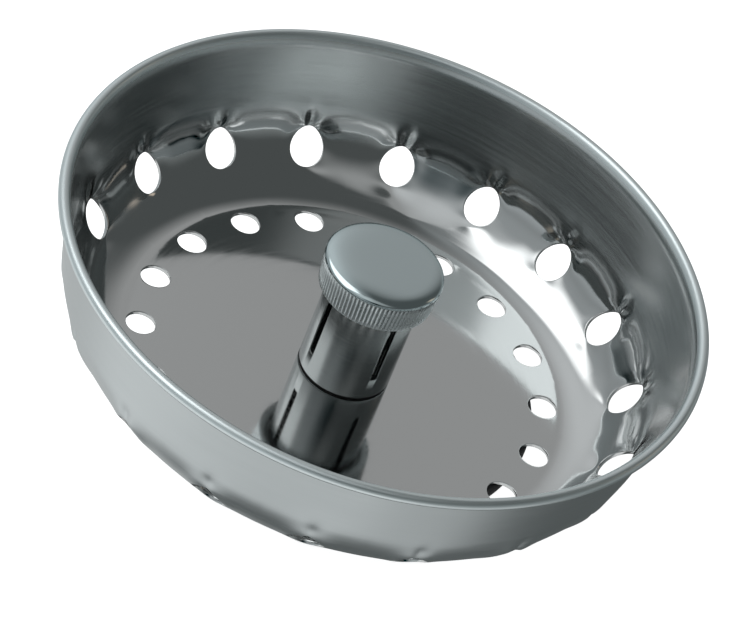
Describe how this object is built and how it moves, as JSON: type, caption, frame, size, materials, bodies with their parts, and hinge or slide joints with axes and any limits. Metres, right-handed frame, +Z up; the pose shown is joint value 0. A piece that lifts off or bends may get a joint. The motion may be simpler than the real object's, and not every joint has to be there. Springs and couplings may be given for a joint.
{
  "type": "sink basket strainer",
  "caption": "Round perforated steel cup with a rubber stopper below and a knurled knob on a post that slides and turns in a slotted spring sleeve.",
  "frame": {"origin": "centre of the post's flat lower tip, on the post's axis", "axes": "+Z up along the post, from its tip to the knob; +X through the first pair of drain holes"},
  "size_m": [0.08, 0.08, 0.0313],
  "materials": {
    "polished_stainless": "bright polished stainless steel with faint spin lines",
    "knurled_stainless": "satin top, straight-knurled rim",
    "machined_stainless": "turned and lightly polished stainless steel",
    "zinc_plated_steel": "bright zinc plate",
    "black_rubber": "matt moulded rubber"
  },
  "bodies": {
    "strainer": {"basket": "polished_stainless", "sleeve": "machined_stainless", "sleeve_gasket": "black_rubber", "stopper": "black_rubber", "backing_washer": "zinc_plated_steel", "lock_washer": "zinc_plated_steel", "clamp_nut": "zinc_plated_steel"},
    "slider": {"stop_ring": "zinc_plated_steel"},
    "knob": {"knob_cap": "knurled_stainless", "post": "machined_stainless", "post_seal": "black_rubber"}
  },
  "joints": [
    {"name": "knob_lift", "type": "slide", "parent": "strainer", "child": "slider", "axis": [0, 0, 1], "range_m": [0, 0.008]},
    {"name": "knob_turn", "type": "hinge", "parent": "slider", "child": "knob", "pos_m": [0, 0, 0.029], "axis": [0, 0, 1], "continuous": true}
  ]
}
